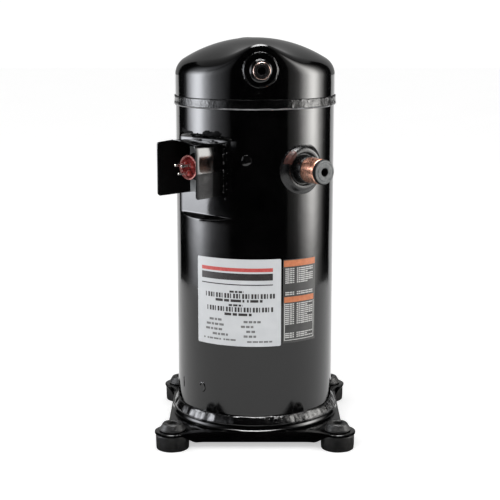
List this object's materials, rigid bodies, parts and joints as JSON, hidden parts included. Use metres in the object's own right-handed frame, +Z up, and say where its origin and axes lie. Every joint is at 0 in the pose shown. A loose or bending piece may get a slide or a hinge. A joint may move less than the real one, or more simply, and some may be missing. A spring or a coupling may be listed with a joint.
{
  "type": "scroll compressor",
  "caption": "Hermetic scroll compressor with welded shell, side suction and front discharge stubs, terminal fence, square mounting base on rubber feet and a working internal scroll set.",
  "frame": {"origin": "on the shell axis at floor level, under the centre of the four feet", "axes": "+Z up along the shell axis, -Y the front with the nameplate, +X to the right seen from the front"},
  "size_m": [0.2316, 0.2316, 0.4663],
  "materials": {
    "black_paint": "gloss",
    "foot_rubber": "matte",
    "copper_plated_tube": "copper plated, drawn",
    "black_plug": "matte",
    "grey_plug": "matte",
    "terminal_body": "satin",
    "terminal_glass": "gloss",
    "terminal_pin": "plated",
    "nameplate_film": "printed film",
    "info_film": "printed film",
    "cast_iron": "machined casting",
    "light_alloy": "die cast",
    "bearing_bronze": "machined",
    "pressed_steel": "pressed",
    "lamination_steel": "stacked laminations",
    "machined_steel": "ground",
    "winding_copper": "enamelled wire",
    "lead_black": "insulated lead",
    "lead_yellow": "insulated lead",
    "lead_blue": "insulated lead"
  },
  "bodies": {
    "shell": {"bottom_cap": "black_paint", "center_shell": "black_paint", "check_valve_stop": "machined_steel", "discharge_fitting": "black_paint", "discharge_stub": "copper_plated_tube", "end_winding_lower": "winding_copper", "end_winding_upper": "winding_copper", "fixed_scroll": "cast_iron", "grommet_front_left": "foot_rubber", "grommet_front_right": "foot_rubber", "grommet_rear_left": "foot_rubber", "grommet_rear_right": "foot_rubber", "info_label": "info_film", "lead_common": "lead_black", "lead_run": "lead_blue", "lead_start": "lead_yellow", "lower_bearing": "bearing_bronze", "lower_bearing_bracket": "cast_iron", "lower_weld_bead": "black_paint", "main_bearing": "bearing_bronze", "main_bearing_housing": "cast_iron", "mounting_base": "black_paint", "muffler_plate": "pressed_steel", "nameplate": "nameplate_film", "relief_valve": "bearing_bronze", "scroll_bolt_1": "machined_steel", "scroll_bolt_2": "machined_steel", "scroll_bolt_3": "machined_steel", "scroll_bolt_4": "machined_steel", "stator_core": "lamination_steel", "suction_fitting": "black_paint", "suction_stub": "copper_plated_tube", "sump_magnet": "pressed_steel", "terminal_cup": "terminal_body", "terminal_fence": "black_paint", "terminal_pin_1": "terminal_pin", "terminal_pin_2": "terminal_pin", "terminal_pin_3": "terminal_pin", "terminal_seal_1": "terminal_glass", "terminal_seal_2": "terminal_glass", "terminal_seal_3": "terminal_glass", "top_cap": "black_paint", "upper_weld_bead": "black_paint"},
    "crank": {"crankshaft": "machined_steel", "drive_bushing": "pressed_steel", "upper_counterweight": "cast_iron", "lower_counterweight": "cast_iron", "rotor_core": "lamination_steel", "rotor_end_ring_upper": "light_alloy", "rotor_end_ring_lower": "light_alloy", "oil_pickup": "machined_steel"},
    "orbiting": {"orbiting_scroll": "cast_iron", "orbiting_bearing": "bearing_bronze"},
    "washer": {"thrust_washer": "bearing_bronze"},
    "coupling_ring": {"oldham_ring": "light_alloy"},
    "check_valve": {"check_valve_disc": "machined_steel"},
    "seal": {"floating_seal": "light_alloy"},
    "suction_cap": {"suction_plug": "grey_plug"},
    "discharge_cap": {"discharge_plug": "black_plug"}
  },
  "joints": [
    {"name": "crank_spin", "type": "hinge", "parent": "shell", "child": "crank", "pos_m": [0, 0, 0.2], "axis": [0, 0, 1], "continuous": true},
    {"name": "scroll_orbit", "type": "hinge", "parent": "crank", "child": "orbiting", "pos_m": [0.005, 0, 0.34], "axis": [0, 0, 1], "continuous": true},
    {"name": "washer_drift", "type": "hinge", "parent": "crank", "child": "washer", "pos_m": [0.0025, 0, 0.3467], "axis": [0, 0, 1], "continuous": true},
    {"name": "coupling_ring_slide", "type": "hinge", "parent": "washer", "child": "coupling_ring", "pos_m": [0.005, 0, 0.3467], "axis": [0, 0, 1], "continuous": true},
    {"name": "check_valve_lift", "type": "slide", "parent": "shell", "child": "check_valve", "axis": [0, 0, 1], "range_m": [0, 0.0026]},
    {"name": "floating_seal_lift", "type": "slide", "parent": "shell", "child": "seal", "axis": [0, 0, 1], "range_m": [0, 0.0015]},
    {"name": "suction_plug_pull", "type": "slide", "parent": "shell", "child": "suction_cap", "axis": [0.5807, -0.8141, 0], "range_m": [0, 0.03]},
    {"name": "discharge_plug_pull", "type": "slide", "parent": "shell", "child": "discharge_cap", "axis": [0.0628, -0.998, 0], "range_m": [0, 0.03]}
  ],
  "couplings": [
    {"joint": "scroll_orbit", "follows": "crank_spin", "ratio": -1},
    {"joint": "washer_drift", "follows": "crank_spin", "ratio": -2},
    {"joint": "coupling_ring_slide", "follows": "crank_spin", "ratio": 1}
  ]
}
